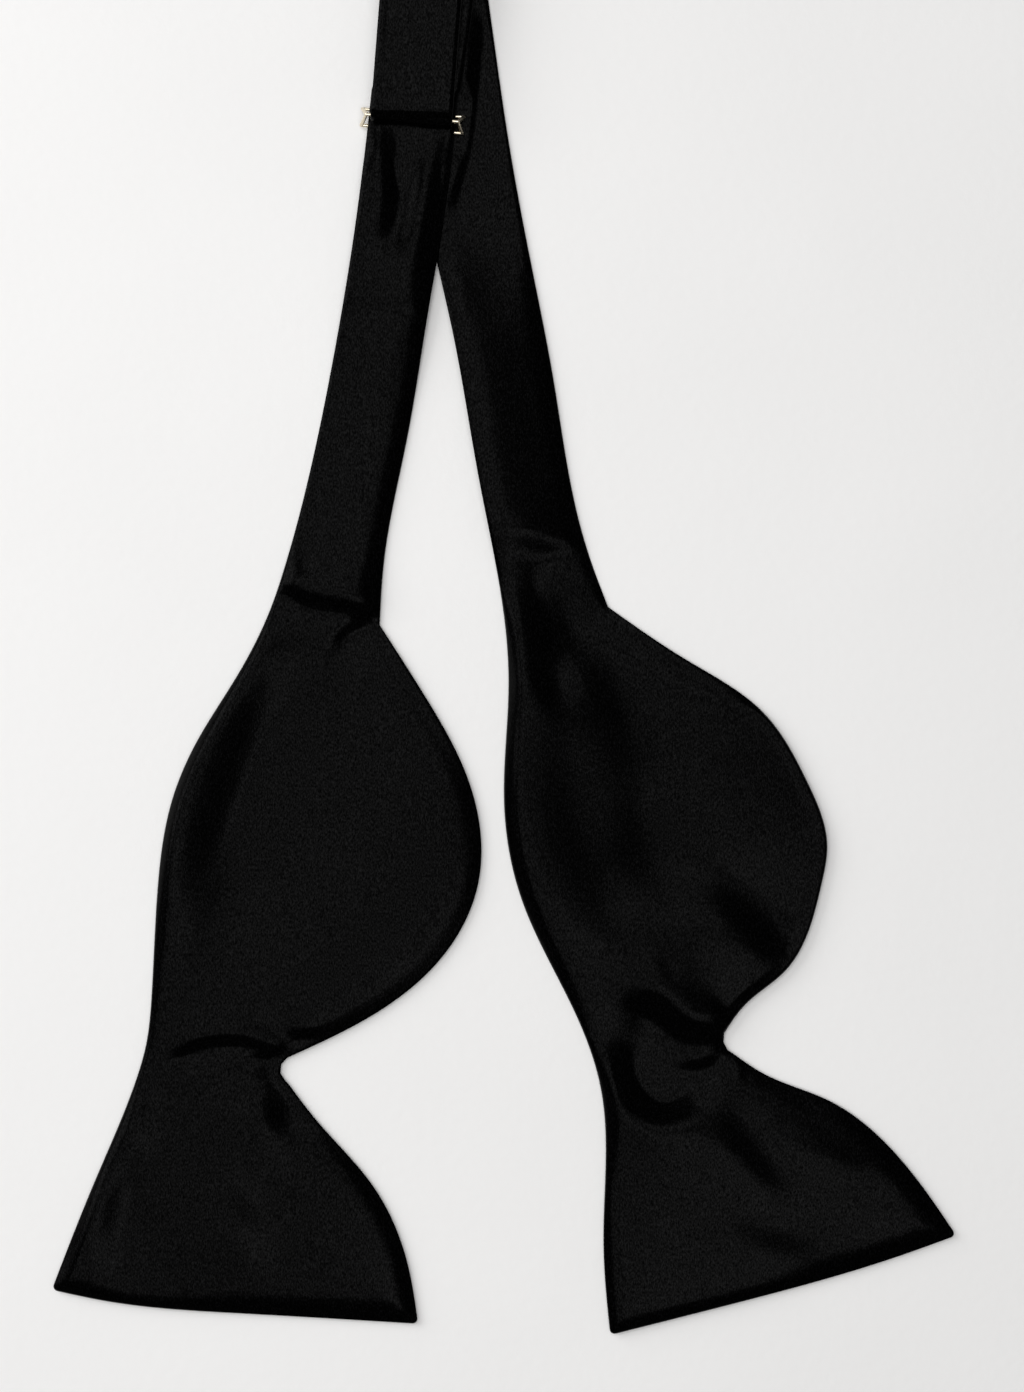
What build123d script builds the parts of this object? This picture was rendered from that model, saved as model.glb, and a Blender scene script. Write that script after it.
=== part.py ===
from build123d import *
from math import atan, cos, sin
import os

# A self-tie butterfly bow tie laid flat, with its neckband folded back on itself.
# X runs across the two blades, Y from the blades towards the fold at the back of
# the neck, and Z up from the table.  The origin is the middle of the underside.
# The right half lies on the table.  Its neckband folds over at the top and ends in
# a hook.  The hook holds a ring, the left half's strap runs round that ring, and
# the strap's end is held by a slide that sets the neck size.

# Driving dimensions, in mm.
WIDTH = 200.0                # across the outer corners of the two blades
LENGTH = 396.0               # from the lowest blade corner to the fold
BAND = 19.0                  # width of the neckband, to suit 3/4 inch hardware
SATIN = 0.25                 # one satin shell
INTERLINING = 0.5            # the layer between the two shells
GAP = 0.1                    # clearance between cloth and metal
SLIDE_WIRE = 0.8             # wire diameter of the slide
RING_WIRE = 1.9              # wire diameter of the ring and the hook

# The upper band lies on a straight line that leans a little to the right.
LEAN = atan(0.08)
SLIDE_X = -20.2              # the slide's centre bar
SLIDE_Y = 70.5
LEFT_TOP = 6.0               # the left half reaches this far above the centre bar
RING_V = 80.0                # the ring's strap bar, measured up the band
RING_LENGTH = 9.0            # between the ring's two long bars
RING_WIDTH = 23.0            # between its two short bars
RING_BEND = 2.0              # radius of its corners
HOOK_BAR_V = 101.0           # the hook's strap bar
HOOK_LENGTH = 6.0            # between the bars of the hook's strap loop
HOOK_TONGUE = 6.0            # width of the hook's tongue
TONGUE = 0.8                 # thickness of the tongue
TONGUE_TIP = 2.5             # the tongue's free end, past the ring's bar
HOOK_TURN = 14.0             # length of strap turned back at the hook
LEAF_TURN = 6.0              # length of strap turned back at the slide
LOOP_ARM = 2.0               # the arms of the strap's turn round the ring
TACK_INSET = 2.0             # each bar tack, from the end of the turned strap
STRAIGHT_V = 50.0            # above this the right leg lies straight under the stack

# Heights worked out from the layers, in mm above the table.
CLOTH = 2 * SATIN + INTERLINING
LOW_BAR_Z = CLOTH + 0.2 + SLIDE_WIRE / 2
MIDDLE = LOW_BAR_Z + SLIDE_WIRE / 2 + GAP        # underside of the back leaf
UNDER_BAR = MIDDLE + CLOTH + GAP                 # underside of the turned strap end
CENTRE_BAR_Z = UNDER_BAR + CLOTH + GAP + SLIDE_WIRE / 2
UPPER = CENTRE_BAR_Z + SLIDE_WIRE / 2 + GAP      # underside of the front leaf
RING_Z = (MIDDLE + CLOTH + UPPER) / 2
FOLD_RADIUS = (MIDDLE - CLOTH) / 2
FOLD_Z = CLOTH + FOLD_RADIUS
STACK = UPPER + CLOTH

# The fold is placed so that the whole tie is LENGTH long.
FOLD_V = (LENGTH / 2 - SLIDE_Y - BAND / 2 * sin(LEAN)) / cos(LEAN) - FOLD_RADIUS - CLOTH

# The three layers of the sewn band: how far each starts into the cloth, and its thickness.
LAYERS = ((0.0, SATIN), (SATIN, INTERLINING), (SATIN + INTERLINING, SATIN))
# Their names from the underside up, or from the inside of a turn out.  The band is
# turned over at each fold, so its front shell is sometimes the lower one.
FACE_UP = ("back", "interlining", "front")
FACE_DOWN = ("front", "interlining", "back")

# The band's own plane: its origin is under the slide's centre bar, local X runs
# across the band (u) and local Y up it (v).
BAND_PLANE = Plane(
    origin=(SLIDE_X, SLIDE_Y, 0), x_dir=(cos(LEAN), -sin(LEAN), 0), z_dir=(0, 0, 1)
)
# The band seen from its side: local X is v and local Y is height.
SIDE_PLANE = Plane(
    origin=(SLIDE_X, SLIDE_Y, 0), x_dir=(sin(LEAN), cos(LEAN), 0), z_dir=(cos(LEAN), -sin(LEAN), 0)
)


def on_band(u, v):
    """The plan position of a point of the band, u across it and v up it."""
    point = BAND_PLANE.from_local_coords(Vector(u, v, 0))
    return (point.X, point.Y)


# Outlines of the two halves in plan.  Each smooth stretch has only the points that
# its curve needs.  Both blades have a gentle outer side and a deep notch inside.
LEFT_OUTER = [
    on_band(-BAND / 2, LEFT_TOP), (-32, 53), (-39.5, 9), (-48, -26.5), (-52.5, -39.5), (-59.5, -53),
    (-67.8, -66.5), (-73.5, -80), (-76.5, -98), (-78, -124), (-79, -133), (-81.5, -142),
    (-90.5, -164), (-WIDTH / 2, -188),
]
LEFT_HEM = [(-WIDTH / 2, -188), (-88, -190.5), (-58.5, -193.2), (-19, -195.5)]
LEFT_FLARE = [(-19, -195.5), (-21.5, -181.5), (-29, -165), (-41.5, -150.5), (-48, -142)]
LEFT_NOTCH = [(-48, -142), (-49.5, -139), (-47.5, -136.5)]
LEFT_BULB = [
    (-47.5, -136.5), (-31.5, -128.7), (-14.5, -115.4), (-6, -99.5), (-5, -90), (-7.8, -75.5),
    (-17, -57.5), (-27.5, -41),
]
LEFT_INNER = [
    (-27.5, -41), (-26.5, -26.5), (-21.5, 0), (-17, 26.5), (-12.5, 54), on_band(BAND / 2, LEFT_TOP),
]

RIGHT_OUTER = [
    on_band(-BAND / 2, STRAIGHT_V), (-23, 97.5), (-17.5, 52), (-11, 22), (-5.5, -9), (-0.5, -35.5),
    (1, -54), (0, -80), (4, -102), (16.5, -128.5), (21.5, -144), (22, -178), (23.5, -LENGTH / 2),
]
RIGHT_HEM = [(23.5, -LENGTH / 2), (53, -190.5), (86, -181), (WIDTH / 2, -176)]
RIGHT_FLARE = [(WIDTH / 2, -176), (88, -159.5), (71.5, -146), (57, -140), (51, -136)]
RIGHT_NOTCH = [(51, -136), (48.5, -133), (49.5, -130)]
RIGHT_BULB = [
    (49.5, -130), (53, -125.3), (62, -117.7), (70.3, -98), (71.5, -90), (67, -75.5), (57.5, -60.5),
    (40, -48.5), (23, -37),
]
RIGHT_INNER = [
    (23, -37), (17.7, -22), (11, 13), (5.8, 40), (1.2, 65), (-3.5, 97.5), on_band(BAND / 2, STRAIGHT_V),
]

# Side profile of the left half: flat blade, then a rise over the right leg.
RISE_START = 2.0
RISE_END = 38.0


def save(part, name):
    """Label a finished piece and write it to its own file."""
    part.label = name
    export_step(part, f"parts/{name}.step")


def half_face(outer, hem, flare, notch, bulb, inner, top=()):
    """One half of the tie in plan, with the straight upper leg if top has its corners."""
    with BuildSketch() as plan:
        with BuildLine():
            Spline(*outer)
            Spline(*hem)
            Spline(*flare)
            ThreePointArc(*notch)
            Spline(*bulb)
            Spline(*inner)
            Polyline(inner[-1], *top, outer[0])
        make_face()
    return plan.sketch


def right_half():
    """The right blade and leg, three flat layers on the table."""
    top = (on_band(BAND / 2, FOLD_V), on_band(-BAND / 2, FOLD_V))
    face = half_face(
        RIGHT_OUTER, RIGHT_HEM, RIGHT_FLARE, RIGHT_NOTCH, RIGHT_BULB, RIGHT_INNER, top
    )
    for ply, (low, thick) in zip(FACE_UP, LAYERS):
        with BuildPart() as layer:
            with BuildSketch(Plane.XY.offset(low)):
                add(face)
            extrude(amount=thick)
        save(layer.part, f"right_half_{ply}")


def left_half():
    """The left blade and band, which climbs over the right leg to reach the slide."""
    face = half_face(LEFT_OUTER, LEFT_HEM, LEFT_FLARE, LEFT_NOTCH, LEFT_BULB, LEFT_INNER)
    for ply, (low, thick) in zip(FACE_UP, LAYERS):
        with BuildPart() as layer:
            with BuildSketch():
                add(face)
            extrude(amount=STACK)
            with BuildSketch(Plane.YZ.offset(-WIDTH)):
                with BuildLine():
                    for height in (low, low + thick):
                        Line((-LENGTH, height), (RISE_START, height))
                        Spline(
                            (RISE_START, height), (RISE_END, MIDDLE + height),
                            tangents=((1, 0), (1, 0)),
                        )
                        Line((RISE_END, MIDDLE + height), (LENGTH, MIDDLE + height))
                    Line((-LENGTH, low), (-LENGTH, low + thick))
                    Line((LENGTH, MIDDLE + low), (LENGTH, MIDDLE + low + thick))
                make_face()
            extrude(amount=2 * WIDTH, mode=Mode.INTERSECT)
        save(layer.part, f"left_half_{ply}")


def flat_strap(name, order, start_v, end_v, underside):
    """A straight stretch of the band, as three flat layers, named in order upwards."""
    for ply, (low, thick) in zip(order, LAYERS):
        with BuildPart() as layer:
            with BuildSketch(BAND_PLANE.offset(underside + low)):
                with Locations((0, (start_v + end_v) / 2)):
                    Rectangle(BAND, end_v - start_v)
            extrude(amount=thick)
        save(layer.part, f"{name}_{ply}")


def turned_strap(name, order, centre_v, centre_z, inner, opens_up, arms):
    """A U-turn of the band about a bar, with two arms, as three layers from the inside out.

    opens_up is 1 where the arms run up the band from the bar, and -1 where they run
    down it.
    """
    for ply, (low, thick) in zip(order, LAYERS):
        near = inner + low
        far = near + thick
        with BuildPart() as layer:
            with BuildSketch(SIDE_PLANE.offset(-BAND / 2)):
                with Locations((centre_v, centre_z)):
                    Circle(far)
                    Circle(near, mode=Mode.SUBTRACT)
                    with Locations((opens_up * far, 0)):
                        Rectangle(2 * far, 2 * far, mode=Mode.SUBTRACT)
                    if arms > 0:
                        for side in (-1, 1):
                            with Locations((opens_up * arms / 2, side * (near + far) / 2)):
                                Rectangle(arms, thick)
            extrude(amount=BAND)
        save(layer.part, f"{name}_{ply}")


def wire_loop(low_v, length):
    """A flat rectangle of the ring's wire, its long bars across the band."""
    with BuildSketch(BAND_PLANE.offset(RING_Z)) as plan:
        with Locations((0, low_v + length / 2)):
            RectangleRounded(RING_WIDTH, length, RING_BEND)
    path = plan.sketch.face().outer_wire()
    with BuildPart() as loop:
        with BuildSketch(Plane(origin=path @ 0, z_dir=path % 0)):
            Circle(RING_WIRE / 2)
        sweep(path=path)
    return loop.part


def eye_ring():
    """The rectangular ring: the strap runs round one bar and the hook holds the other."""
    save(wire_loop(RING_V, RING_LENGTH), "eye_ring")


def strap_hook():
    """The hook: a strap loop of the same wire, with a flat tongue round the ring's bar."""
    loop = wire_loop(HOOK_BAR_V - HOOK_LENGTH, HOOK_LENGTH)
    ring_bar = RING_V + RING_LENGTH
    root = HOOK_BAR_V - HOOK_LENGTH
    near = RING_WIRE / 2 + GAP
    far = near + TONGUE
    with BuildPart() as hook:
        add(loop)
        with BuildSketch(SIDE_PLANE.offset(-HOOK_TONGUE / 2)):
            with Locations((ring_bar, RING_Z)):
                Circle(far)
                Circle(near, mode=Mode.SUBTRACT)
                with Locations((far, 0)):
                    Rectangle(2 * far, 2 * far, mode=Mode.SUBTRACT)
                with Locations((TONGUE_TIP / 2, -(near + far) / 2)):
                    Rectangle(TONGUE_TIP, TONGUE)
                with Locations(((root - ring_bar) / 2, (near + far) / 2)):
                    Rectangle(root - ring_bar, TONGUE)
            with Locations((root, RING_Z + far / 2)):
                Rectangle(RING_WIRE, far)
        extrude(amount=HOOK_TONGUE)
    save(hook.part, "strap_hook")


# The slide is one wire bent into a figure of eight and a bar across its waist.
SLIDE_LOBE = 11.2            # half width of the slide at its lobes
SLIDE_WAIST = 10.1           # half width at the ends of the centre bar
SLIDE_UPPER_V = 1.6          # the upper outer bar
SLIDE_LOWER_V = -2.0         # the lower outer bar


def slide_adjuster():
    """Two outer bars under the band, a centre bar over it and sloping sides between."""
    half = SLIDE_WIRE / 2
    with BuildPart() as slide:
        for bar_v, bar_z, reach in (
            (SLIDE_UPPER_V, LOW_BAR_Z, SLIDE_LOBE),
            (SLIDE_LOWER_V, LOW_BAR_Z, SLIDE_LOBE),
            (0, CENTRE_BAR_Z, SLIDE_WAIST),
        ):
            with BuildSketch(Plane(
                origin=BAND_PLANE.from_local_coords(Vector(-reach, bar_v, bar_z)),
                z_dir=BAND_PLANE.x_dir,
            )):
                Circle(half)
            extrude(amount=2 * reach)
        for side in (-1, 1):
            for bar_v in (SLIDE_UPPER_V, SLIDE_LOWER_V):
                foot = BAND_PLANE.from_local_coords(Vector(side * SLIDE_LOBE, bar_v, LOW_BAR_Z))
                head = BAND_PLANE.from_local_coords(Vector(side * SLIDE_WAIST, 0, CENTRE_BAR_Z))
                rise = head - foot
                with BuildSketch(Plane(origin=foot, z_dir=rise)):
                    Circle(half)
                extrude(amount=rise.length)
                with Locations(foot, head):
                    Sphere(half)
    save(slide.part, "slide_adjuster")


TACK_WIDTH = 13.0            # both bar tacks, across the band
TACK_LENGTH = 1.2


def bar_tack(name, centre_v, bottom, top):
    """A block of thread that joins the two layers of a turned strap end."""
    with BuildPart() as tack:
        with BuildSketch(BAND_PLANE.offset(bottom)):
            with Locations((0, centre_v)):
                SlotOverall(TACK_WIDTH, TACK_LENGTH)
        extrude(amount=top - bottom)
    save(tack.part, name)


def main():
    os.makedirs("parts", exist_ok=True)
    turn = RING_WIRE / 2 + GAP
    right_half()
    turned_strap("neck_fold", FACE_DOWN, FOLD_V, FOLD_Z, FOLD_RADIUS, -1, 0)
    flat_strap("hook_strap", FACE_DOWN, HOOK_BAR_V + HOOK_TURN, FOLD_V, MIDDLE)
    turned_strap("hook_end", FACE_UP, HOOK_BAR_V, RING_Z, turn, 1, HOOK_TURN)
    bar_tack("hook_tack", HOOK_BAR_V + HOOK_TURN - TACK_INSET, MIDDLE + CLOTH, UPPER)
    strap_hook()
    eye_ring()
    turned_strap("ring_loop", FACE_DOWN, RING_V, RING_Z, turn, -1, LOOP_ARM)
    flat_strap("back_leaf", FACE_UP, LEFT_TOP, RING_V - LOOP_ARM, MIDDLE)
    flat_strap("front_leaf", FACE_DOWN, LEAF_TURN, RING_V - LOOP_ARM, UPPER)
    left_half()
    turned_strap(
        "leaf_end", FACE_DOWN, 0, CENTRE_BAR_Z, SLIDE_WIRE / 2 + GAP, 1, LEAF_TURN
    )
    bar_tack("leaf_tack", LEAF_TURN - TACK_INSET, UNDER_BAR + CLOTH, UPPER)
    slide_adjuster()


main()
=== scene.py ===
import math

import bmesh
import bpy
import numpy as np
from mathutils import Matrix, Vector
from mathutils.kdtree import KDTree


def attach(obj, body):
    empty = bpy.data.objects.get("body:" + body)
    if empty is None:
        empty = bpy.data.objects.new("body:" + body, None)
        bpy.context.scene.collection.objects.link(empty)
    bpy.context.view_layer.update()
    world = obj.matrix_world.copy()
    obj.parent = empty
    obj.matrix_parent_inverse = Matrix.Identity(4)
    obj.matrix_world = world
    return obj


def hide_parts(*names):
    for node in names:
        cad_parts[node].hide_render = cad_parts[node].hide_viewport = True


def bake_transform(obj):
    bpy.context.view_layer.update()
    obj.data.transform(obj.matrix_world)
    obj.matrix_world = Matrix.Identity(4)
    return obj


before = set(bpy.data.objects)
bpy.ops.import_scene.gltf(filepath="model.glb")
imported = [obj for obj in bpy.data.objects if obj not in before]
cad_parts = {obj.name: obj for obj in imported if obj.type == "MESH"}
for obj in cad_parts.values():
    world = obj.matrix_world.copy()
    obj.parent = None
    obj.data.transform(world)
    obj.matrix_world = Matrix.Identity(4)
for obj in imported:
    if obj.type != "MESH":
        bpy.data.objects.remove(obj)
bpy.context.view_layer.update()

# A black satin bow tie laid flat.  The two halves are sewn shells of satin over an
# interlining.  Each half is drawn as its flat pattern, a grid of rows that run from
# the outer edge to the inner one, given a thickness and creases, and then led along
# the path that the band takes: round the ring and the slide on the left half, and
# round the fold and the hook on the right one.

MM = 0.001

# --- The frame's own sizes, in mm, as in the CAD model -----------------------------

BAND = 19.0                  # width of the neckband
CLOTH = 1.0                  # thickness of the sewn band
SATIN = 0.25                 # one satin shell
LEAN = math.atan(0.08)       # the upper band leans to the right by this angle
SLIDE_X, SLIDE_Y = -20.2, 70.5           # the slide's centre bar
LEFT_TOP = 6.0               # the left outline reaches this far above the centre bar
RING_V = 80.0                # the ring's bar, up the band from the slide
HOOK_BAR_V = 101.0           # the hook's strap bar, up the band from the slide
HOOK_TURN = 14.0             # length of strap turned back at the hook
LEAF_TURN = 6.0              # length of strap turned back at the slide
TACK_INSET = 2.0             # each bar tack, from the end of the turned strap
STRAIGHT_V = 50.0            # above this the right band lies straight under the left one
FOLD_TOP_Y = 198.0           # top of the fold at the back of the neck
RIGHT_CORNER_Y = -198.0      # the lowest corner of the right blade
LEFT_X, RIGHT_X = -100.0, 100.0          # the blades' outermost corners

MIDDLE_Z = 2.6               # middle of the cloth in the back leaf and the hook strap
CENTRE_BAR_Z = 4.7
RING_Z = 4.15
LEAF_RADIUS = 1.0            # middle of the cloth in each turn
RING_RADIUS = 1.55
FOLD_RADIUS = 1.05
FOLD_V = (FOLD_TOP_Y - SLIDE_Y - BAND / 2 * math.sin(LEAN)) / math.cos(LEAN) - FOLD_RADIUS - CLOTH / 2

RISE_START, RISE_END = 2.0, 38.0         # where the left band climbs on to the right one


def on_band(u, v):
    """Plan position of a point of the straight upper band: u across it, v up it."""
    return (
        SLIDE_X + u * math.cos(LEAN) + v * math.sin(LEAN),
        SLIDE_Y - u * math.sin(LEAN) + v * math.cos(LEAN),
    )


# --- Outlines of the two halves, from the top of each down to the hem ---------------

LEFT = {
    "outer": [
        on_band(-BAND / 2, LEFT_TOP), (-32, 53), (-39.5, 9), (-48, -26.5), (-52.5, -39.5),
        (-59.5, -53), (-67.8, -66.5), (-73.5, -80), (-76.5, -98), (-78, -124), (-79, -133),
        (-81.5, -142), (-90.5, -164), (LEFT_X, -188),
    ],
    "band": [
        on_band(BAND / 2, LEFT_TOP), (-12.5, 54), (-17, 26.5), (-21.5, 0), (-26.5, -26.5),
        (-27.5, -41),
    ],
    "bulb": [
        (-27.5, -41), (-17, -57.5), (-7.8, -75.5), (-5, -90), (-6, -99.5), (-14.5, -115.4),
        (-31.5, -128.7), (-47.5, -136.5),
    ],
    "notch": [(-47.5, -136.5), (-49.5, -139), (-48, -142)],
    "flare": [(-48, -142), (-41.5, -150.5), (-29, -165), (-21.5, -181.5), (-19, -195.5)],
    "hem": [(LEFT_X, -188), (-88, -190.5), (-58.5, -193.2), (-19, -195.5)],
    # Points of the outer edge that lie across from the throat, the widest part of the
    # bulb and the notch, then the widest point of the bulb itself.
    "across": [(-51, -36), (-76.5, -98), (-80.5, -139)],
    "widest": (-5, -90),
}
RIGHT = {
    "outer": [
        on_band(-BAND / 2, STRAIGHT_V), (-23, 97.5), (-17.5, 52), (-11, 22), (-5.5, -9),
        (-0.5, -35.5), (1, -54), (0, -80), (4, -102), (16.5, -128.5), (21.5, -144), (22, -178),
        (23.5, RIGHT_CORNER_Y),
    ],
    "band": [
        on_band(BAND / 2, STRAIGHT_V), (-3.5, 97.5), (1.2, 65), (5.8, 40), (11, 13), (17.7, -22),
        (23, -37),
    ],
    "bulb": [
        (23, -37), (40, -48.5), (57.5, -60.5), (67, -75.5), (71.5, -90), (70.3, -98), (62, -117.7),
        (53, -125.3), (49.5, -130),
    ],
    "notch": [(49.5, -130), (48.5, -133), (51, -136)],
    "flare": [(51, -136), (57, -140), (71.5, -146), (88, -159.5), (RIGHT_X, -176)],
    "hem": [(23.5, RIGHT_CORNER_Y), (53, -190.5), (86, -181), (RIGHT_X, -176)],
    "across": [(0.3, -41), (2.2, -97), (20.5, -140)],
    "widest": (71.5, -90),
}


# --- Curves -------------------------------------------------------------------------

def smooth_curve(points, step=0.4):
    """A natural cubic curve through the points, as closely spaced points."""
    p = np.array(points, float)
    t = np.r_[0, np.cumsum(np.linalg.norm(np.diff(p, axis=0), axis=1))]
    h = np.diff(t)
    n = len(p)
    a = np.zeros((n, n))
    b = np.zeros((n, 2))
    a[0, 0] = a[-1, -1] = 1
    for i in range(1, n - 1):
        a[i, i - 1:i + 2] = h[i - 1], 2 * (h[i - 1] + h[i]), h[i]
        b[i] = 6 * ((p[i + 1] - p[i]) / h[i] - (p[i] - p[i - 1]) / h[i - 1])
    m = np.linalg.solve(a, b)
    s = np.linspace(0, t[-1], max(8, int(t[-1] / step)))
    k = np.clip(np.searchsorted(t, s, "right") - 1, 0, n - 2)
    left, right, gap = (s - t[k])[:, None], (t[k + 1] - s)[:, None], h[k][:, None]
    return (
        (m[k] * right**3 + m[k + 1] * left**3) / (6 * gap)
        + (p[k] / gap - m[k] * gap / 6) * right
        + (p[k + 1] / gap - m[k + 1] * gap / 6) * left
    )


def arc_curve(points, step=0.4):
    """A circular arc through three points."""
    (ax, ay), (bx, by), (cx, cy) = points
    d = 2 * (ax * (by - cy) + bx * (cy - ay) + cx * (ay - by))
    ux = ((ax**2 + ay**2) * (by - cy) + (bx**2 + by**2) * (cy - ay) + (cx**2 + cy**2) * (ay - by)) / d
    uy = ((ax**2 + ay**2) * (cx - bx) + (bx**2 + by**2) * (ax - cx) + (cx**2 + cy**2) * (bx - ax)) / d
    start, mid, end = (math.atan2(y - uy, x - ux) for x, y in points)
    turn = (end - start) % (2 * math.pi)
    if (mid - start) % (2 * math.pi) > turn:
        turn -= 2 * math.pi
    radius = math.hypot(ax - ux, ay - uy)
    angle = start + np.linspace(0, turn, max(9, int(abs(turn) * radius / step)))
    return np.c_[ux + radius * np.cos(angle), uy + radius * np.sin(angle)]


def lengths(line):
    """Distance along a polyline of each of its points."""
    return np.r_[0, np.cumsum(np.linalg.norm(np.diff(line, axis=0), axis=1))]


def at_length(line, s):
    """Points of a polyline at distances s along it."""
    total = lengths(line)
    return np.c_[np.interp(s, total, line[:, 0]), np.interp(s, total, line[:, 1])]


def nearest_length(line, point):
    """Distance along a polyline of its point nearest to the one given."""
    total = lengths(line)
    return total[np.argmin(np.linalg.norm(line - np.array(point), axis=1))]


def joined(*lines):
    """Lines end to end, without the repeated points where they meet."""
    return np.vstack([lines[0]] + [line[1:] for line in lines[1:]])


# --- The flat pattern of a half -------------------------------------------------------

ROW_STEP = 1.0
EDGE_COLUMNS = (0.0, 0.1, 0.25, 0.45, 0.75, 1.15, 1.7, 2.4, 3.3)
MIDDLE_COLUMNS = 72


def blade_rows(half):
    """Ends of the rows, outer and inner, from the top of the outline down to the hem."""
    outer = smooth_curve(half["outer"])
    inner = joined(
        smooth_curve(half["band"]), smooth_curve(half["bulb"]), arc_curve(half["notch"]),
        smooth_curve(half["flare"]),
    )
    outer_keys = [0] + [nearest_length(outer, p) for p in half["across"]] + [lengths(outer)[-1]]
    inner_keys = [0] + [
        nearest_length(inner, p) for p in (half["bulb"][0], half["widest"], half["notch"][1])
    ] + [lengths(inner)[-1]]
    outer_s, inner_s = [0.0], [0.0]
    for k in range(len(outer_keys) - 1):
        o, i = outer_keys[k:k + 2], inner_keys[k:k + 2]
        n = max(2, int(round(max(o[1] - o[0], i[1] - i[0]) / ROW_STEP)))
        outer_s += list(np.linspace(*o, n + 1)[1:])
        inner_s += list(np.linspace(*i, n + 1)[1:])
    outer_s, inner_s = np.array(outer_s), np.array(inner_s)
    close = np.array(EDGE_COLUMNS[::-1])
    keep = (outer_s < outer_s[-1] - close[0] - 0.5) & (inner_s < inner_s[-1] - close[0] - 0.5)
    outer_s, inner_s = (np.r_[s[keep], s[-1] - close] for s in (outer_s, inner_s))
    return at_length(outer, outer_s), at_length(inner, inner_s)


def straight_rows(values, half_width, shift=0.0):
    """Ends of rows of the straight band at distances v; widths and shifts may vary."""
    half_width = np.broadcast_to(half_width, len(values))
    shift = np.broadcast_to(shift, len(values))
    outer = np.array([on_band(-w + d, v) for v, w, d in zip(values, half_width, shift)])
    inner = np.array([on_band(w + d, v) for v, w, d in zip(values, half_width, shift)])
    return outer, inner


def grid_of(outer, inner):
    """Points of each row from its outer end to its inner end, close together at both."""
    width = np.linalg.norm(inner - outer, axis=1)[:, None]
    edge = np.array(EDGE_COLUMNS)[None, :]
    middle = np.linspace(0, 1, MIDDLE_COLUMNS + 2)[None, 1:-1]
    reach = EDGE_COLUMNS[-1]
    across = np.hstack([
        np.repeat(edge, len(width), 0), reach + middle * (width - 2 * reach), width - edge[:, ::-1],
    ]) / width
    return outer[:, None, :] * (1 - across[..., None]) + inner[:, None, :] * across[..., None]


def distance_to(points, line):
    """Distance of each point to the nearest point of a closely spaced line."""
    tree = KDTree(len(line))
    for number, (x, y) in enumerate(line):
        tree.insert((x, y, 0), number)
    tree.balance()
    near = [tree.find((x, y, 0))[2] for x, y in points.reshape(-1, 2)]
    return np.array(near).reshape(points.shape[:-1])


def edge_distance(grid):
    """Distance of each grid point to the pattern's edge, which is finished all round."""
    border = joined(grid[0], grid[:, -1], grid[-1, ::-1], grid[::-1, 0])
    near = distance_to(grid, at_length(border, np.arange(0, lengths(border)[-1], 0.1)))
    near[:, 0] = near[:, -1] = near[0] = near[-1] = 0
    return near


CORNER = 1.3                 # radius of a blade's outer corners


def round_corners(grid):
    """Draws the two corners at the hem, the last row, in to a small radius."""
    for side in (0, -1):
        corner = grid[-1, side].copy()
        along = grid[-1, 1 if side == 0 else -2] - corner
        up = grid[-2, side] - corner
        along, up = along / np.linalg.norm(along), up / np.linalg.norm(up)
        rel = grid - corner
        basis = np.linalg.inv(np.array([along, up]).T)
        a, b = np.moveaxis(rel @ basis.T, -1, 0)
        inside = (a < CORNER) & (b < CORNER) & (a > -0.01) & (b > -0.01)
        u, v = 1 - a / CORNER, 1 - b / CORNER
        new_a = CORNER * (1 - u * np.sqrt(1 - v * v / 2))
        new_b = CORNER * (1 - v * np.sqrt(1 - u * u / 2))
        moved = corner + new_a[..., None] * along + new_b[..., None] * up
        grid[inside] = moved[inside]
    return grid


# --- Relief: creases, hollows and puckers ---------------------------------------------

AWAY = np.array([0.9, -0.43])            # in plan, the way a positive crease slopes down
# Share of the slope, and width against the crease's own, of each part of its profile.
CREASE_SCALES = ((0.60, 1.0), (0.27, 1.8), (0.13, 3.0))
CREASE_REACH = 6.0           # widths of a crease beyond which it is left out


def crease(points, path, width, tilt):
    """A soft crease along a path: one slope of so many degrees, and a slow return each side."""
    line = smooth_curve(path, 0.3 * width)
    step = lengths(line)[-1] / (len(line) - 1) / width
    along = np.gradient(line, axis=0)
    along /= np.linalg.norm(along, axis=1)[:, None]
    across = np.c_[-along[:, 1], along[:, 0]]
    if (across @ AWAY).sum() < 0:
        across = -across
    reach = CREASE_REACH * width
    close = ((points > line.min(0) - reach) & (points < line.max(0) + reach)).all(-1)
    offset = (points[close][:, None, :] - line[None]) / width
    side, away = (offset * across[None]).sum(2), (offset**2).sum(2)
    parts = sum(share / scale * np.exp(-away / scale**2) for share, scale in CREASE_SCALES)
    rise = np.zeros(points.shape[:-1])
    slope = math.tan(math.radians(tilt)) * step / math.sqrt(math.pi)
    rise[close] = -slope * width * (side * parts).sum(1)
    return rise


def smoothstep(t):
    """0 below 0, 1 above 1 and a soft step between."""
    t = np.clip(t, 0, 1)
    return t * t * (3 - 2 * t)


def pucker(points, centre, first, last, count, reach, height):
    """Fine creases that fan out from a point, between two directions in degrees."""
    rel = points - np.array(centre)
    radius = np.linalg.norm(rel, axis=-1)
    angle = np.degrees(np.arctan2(rel[..., 1], rel[..., 0])) % 360
    share = np.clip((angle - first) / (last - first), 0, 1)
    fade = np.exp(-((radius - 0.3 * reach) / (0.55 * reach)) ** 2) * np.clip(radius / 1.5, 0, 1)
    return height * np.sin(share * math.pi) * fade * np.sin(share * 2 * math.pi * count)


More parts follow.
